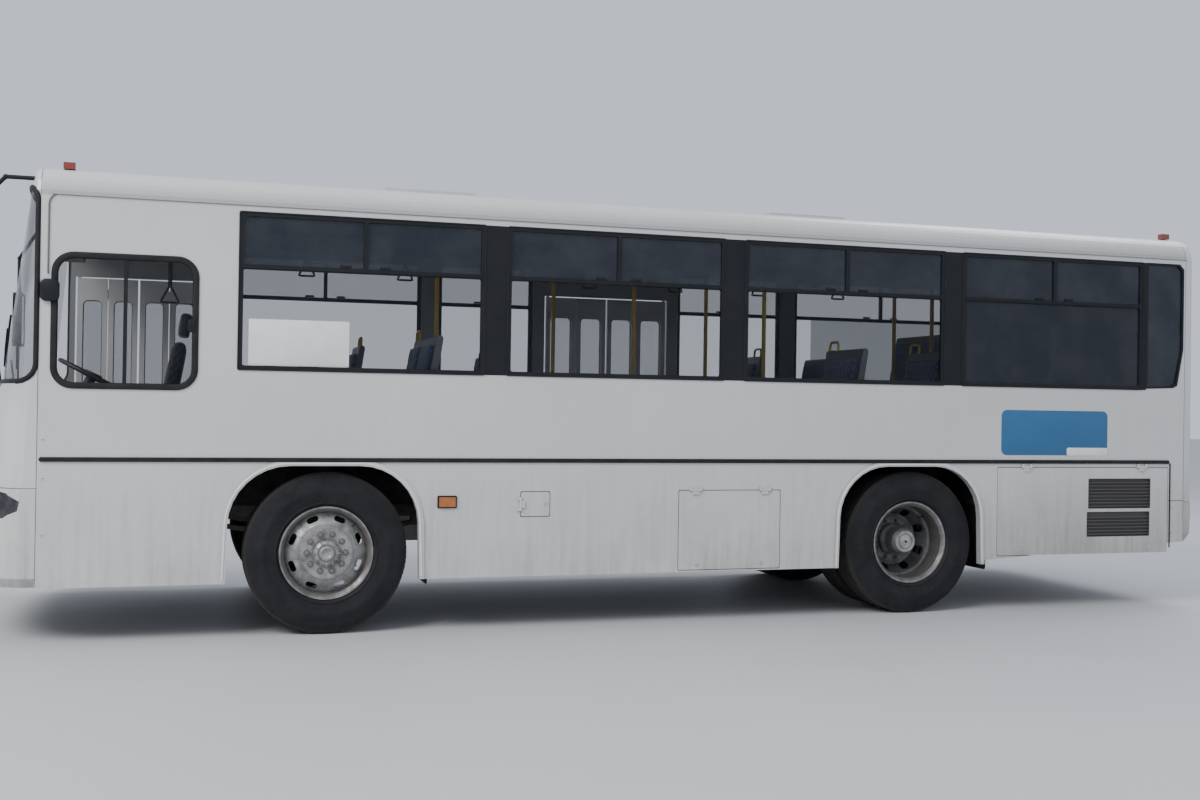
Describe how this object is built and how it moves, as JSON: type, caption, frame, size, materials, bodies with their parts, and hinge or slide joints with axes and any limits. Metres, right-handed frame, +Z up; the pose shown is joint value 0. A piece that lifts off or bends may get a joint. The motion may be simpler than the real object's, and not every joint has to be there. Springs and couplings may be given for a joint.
{
  "type": "single-deck midi city bus",
  "caption": "White single-deck city bus with wide side windows, folding passenger doors on the far side, a rear engine bay and twin rear wheels.",
  "frame": {"origin": "on the floor under the middle of the body's box", "axes": "+X forward along the bus, +Y to the bus's left, +Z up"},
  "size_m": [8.99, 2.84, 3.028],
  "materials": {
    "paint": "semi-gloss, lightly dusty",
    "chassis": "satin black",
    "floor": "worn sheet flooring",
    "liner": "underseal",
    "screen_glass": "clear",
    "window_glass": "lightly tinted",
    "black_trim": "satin black",
    "black_rubber": "matt",
    "lamp_clear": "clear lens over reflectors",
    "lamp_red": "red lens",
    "lamp_amber": "amber lens",
    "dark_plastic": "grained",
    "seat_plastic": "grained",
    "seat_fabric": "woven plush",
    "driver_fabric": "woven",
    "rail_yellow": "powder coat",
    "cast_iron": "painted",
    "spring_steel": "dull",
    "exhaust_steel": "heat stained",
    "wheel_silver": "silver paint",
    "tyre": "black rubber",
    "hatch_plastic": "moulded"
  },
  "bodies": {
    "bus_body": {"chassis_frame": "chassis", "floor": "floor", "wheel_boxes": "liner", "step_wells": "floor", "side_left": "paint", "side_right": "paint", "roof": "paint", "front_mask": "paint", "front_bumper": "paint", "rear_panel": "paint", "rear_bumper": "paint", "windscreen": "screen_glass", "rear_window": "window_glass", "side_glass": "window_glass", "window_frames": "black_trim", "headlamps": "lamp_clear", "tail_lamps": "lamp_red", "marker_lamps": "lamp_amber", "mirrors": "black_trim", "wipers": "black_trim", "rub_strips": "black_rubber", "destination_box": "dark_plastic", "passenger_seats": "seat_plastic", "seat_pads": "seat_fabric", "driver_seat": "driver_fabric", "dashboard": "dark_plastic", "handrails": "rail_yellow", "engine_block": "cast_iron", "front_axle": "chassis", "rear_axle": "cast_iron", "springs": "spring_steel", "fuel_tank": "chassis", "exhaust": "exhaust_steel"},
    "left_knuckle": {"knuckle_left": "cast_iron"},
    "right_knuckle": {"knuckle_right": "cast_iron"},
    "tie_rod": {"track_rod": "chassis"},
    "steering_wheel": {"steering_wheel": "dark_plastic"},
    "front_left_wheel": {"wheel_fl": "wheel_silver", "tyre_fl": "tyre"},
    "front_right_wheel": {"wheel_fr": "wheel_silver", "tyre_fr": "tyre"},
    "rear_left_wheels": {"wheel_rl": "wheel_silver", "tyres_rl": "tyre"},
    "rear_right_wheels": {"wheel_rr": "wheel_silver", "tyres_rr": "tyre"},
    "fuel_flap": {"fuel_flap": "paint"},
    "service_flap": {"service_flap": "paint"},
    "engine_door": {"engine_door": "paint"},
    "rear_lid": {"rear_lid": "paint"},
    "roof_hatch_front": {"roof_hatch_front": "hatch_plastic"},
    "roof_hatch_rear": {"roof_hatch_rear": "hatch_plastic"},
    "front_leaf_1": {"front_leaf_1": "paint"},
    "front_leaf_2": {"front_leaf_2": "paint"},
    "front_leaf_3": {"front_leaf_3": "paint"},
    "front_leaf_4": {"front_leaf_4": "paint"},
    "mid_leaf_1": {"mid_leaf_1": "paint"},
    "mid_leaf_2": {"mid_leaf_2": "paint"},
    "mid_leaf_3": {"mid_leaf_3": "paint"},
    "mid_leaf_4": {"mid_leaf_4": "paint"}
  },
  "joints": [
    {"name": "steer_left", "type": "hinge", "parent": "bus_body", "child": "left_knuckle", "pos_m": [2.295, 0.93, 0.517], "axis": [0, 0, 1], "range_deg": [-35, 35]},
    {"name": "steer_right", "type": "hinge", "parent": "bus_body", "child": "right_knuckle", "pos_m": [2.295, -0.93, 0.517], "axis": [0, 0, 1], "range_deg": [-35, 35]},
    {"name": "tie_rod_pivot", "type": "hinge", "parent": "left_knuckle", "child": "tie_rod", "pos_m": [2.095, 0.93, 0.414], "axis": [0, 0, 1], "range_deg": [-35, 35]},
    {"name": "steering_wheel_turn", "type": "hinge", "parent": "bus_body", "child": "steering_wheel", "pos_m": [3.745, 0.7, 1.63], "axis": [-0.454, 0, 0.891], "range_deg": [-630, 630]},
    {"name": "spin_front_left", "type": "hinge", "parent": "left_knuckle", "child": "front_left_wheel", "pos_m": [2.295, 1.072, 0.517], "axis": [0, 1, 0], "continuous": true},
    {"name": "spin_front_right", "type": "hinge", "parent": "right_knuckle", "child": "front_right_wheel", "pos_m": [2.295, -1.072, 0.517], "axis": [0, 1, 0], "continuous": true},
    {"name": "spin_rear_left", "type": "hinge", "parent": "bus_body", "child": "rear_left_wheels", "pos_m": [-1.945, 0.907, 0.517], "axis": [0, 1, 0], "continuous": true},
    {"name": "spin_rear_right", "type": "hinge", "parent": "bus_body", "child": "rear_right_wheels", "pos_m": [-1.945, -0.907, 0.517], "axis": [0, 1, 0], "continuous": true},
    {"name": "front_door_1", "type": "hinge", "parent": "bus_body", "child": "front_leaf_1", "pos_m": [3.09, -1.217, 1.4], "axis": [0, 0, 1], "range_deg": [0, 85]},
    {"name": "front_door_2", "type": "hinge", "parent": "front_leaf_1", "child": "front_leaf_2", "pos_m": [3.2975, -1.2385, 1.4], "axis": [0, 0, -1], "range_deg": [0, 170]},
    {"name": "front_door_4", "type": "hinge", "parent": "bus_body", "child": "front_leaf_4", "pos_m": [3.96, -1.217, 1.4], "axis": [0, 0, -1], "range_deg": [0, 85]},
    {"name": "front_door_3", "type": "hinge", "parent": "front_leaf_4", "child": "front_leaf_3", "pos_m": [3.7525, -1.2385, 1.4], "axis": [0, 0, 1], "range_deg": [0, 170]},
    {"name": "mid_door_1", "type": "hinge", "parent": "bus_body", "child": "mid_leaf_1", "pos_m": [-0.865, -1.217, 1.4], "axis": [0, 0, 1], "range_deg": [0, 85]},
    {"name": "mid_door_2", "type": "hinge", "parent": "mid_leaf_1", "child": "mid_leaf_2", "pos_m": [-0.61, -1.2385, 1.4], "axis": [0, 0, -1], "range_deg": [0, 170]},
    {"name": "mid_door_4", "type": "hinge", "parent": "bus_body", "child": "mid_leaf_4", "pos_m": [0.195, -1.217, 1.4], "axis": [0, 0, -1], "range_deg": [0, 85]},
    {"name": "mid_door_3", "type": "hinge", "parent": "mid_leaf_4", "child": "mid_leaf_3", "pos_m": [-0.06, -1.2385, 1.4], "axis": [0, 0, 1], "range_deg": [0, 170]},
    {"name": "fuel_flap_hinge", "type": "hinge", "parent": "bus_body", "child": "fuel_flap", "pos_m": [1.0335, 1.2525, 0.8245], "axis": [0, 0, -1], "range_deg": [0, 100]},
    {"name": "service_flap_hinge", "type": "hinge", "parent": "bus_body", "child": "service_flap", "pos_m": [-0.4785, 1.2525, 0.9115], "axis": [1, 0, 0], "range_deg": [0, 85]},
    {"name": "engine_door_hinge", "type": "hinge", "parent": "bus_body", "child": "engine_door", "pos_m": [-3.4245, 1.2525, 1.0725], "axis": [1, 0, 0], "range_deg": [0, 80]},
    {"name": "rear_lid_hinge", "type": "hinge", "parent": "bus_body", "child": "rear_lid", "pos_m": [-4.4875, 0, 1.4525], "axis": [0, 1, 0], "range_deg": [0, 70]},
    {"name": "roof_hatch_front_hinge", "type": "hinge", "parent": "bus_body", "child": "roof_hatch_front", "pos_m": [1.165, 0, 2.997], "axis": [0, -1, 0], "range_deg": [0, 30]},
    {"name": "roof_hatch_rear_hinge", "type": "hinge", "parent": "bus_body", "child": "roof_hatch_rear", "pos_m": [-1.835, 0, 2.997], "axis": [0, -1, 0], "range_deg": [0, 30]}
  ],
  "couplings": [
    {"joint": "steer_right", "follows": "steer_left", "ratio": 1},
    {"joint": "tie_rod_pivot", "follows": "steer_left", "ratio": -1},
    {"joint": "steering_wheel_turn", "follows": "steer_left", "ratio": 18},
    {"joint": "front_door_2", "follows": "front_door_1", "ratio": 2},
    {"joint": "front_door_4", "follows": "front_door_1", "ratio": 1},
    {"joint": "front_door_3", "follows": "front_door_1", "ratio": 2},
    {"joint": "mid_door_2", "follows": "mid_door_1", "ratio": 2},
    {"joint": "mid_door_4", "follows": "mid_door_1", "ratio": 1},
    {"joint": "mid_door_3", "follows": "mid_door_1", "ratio": 2}
  ]
}
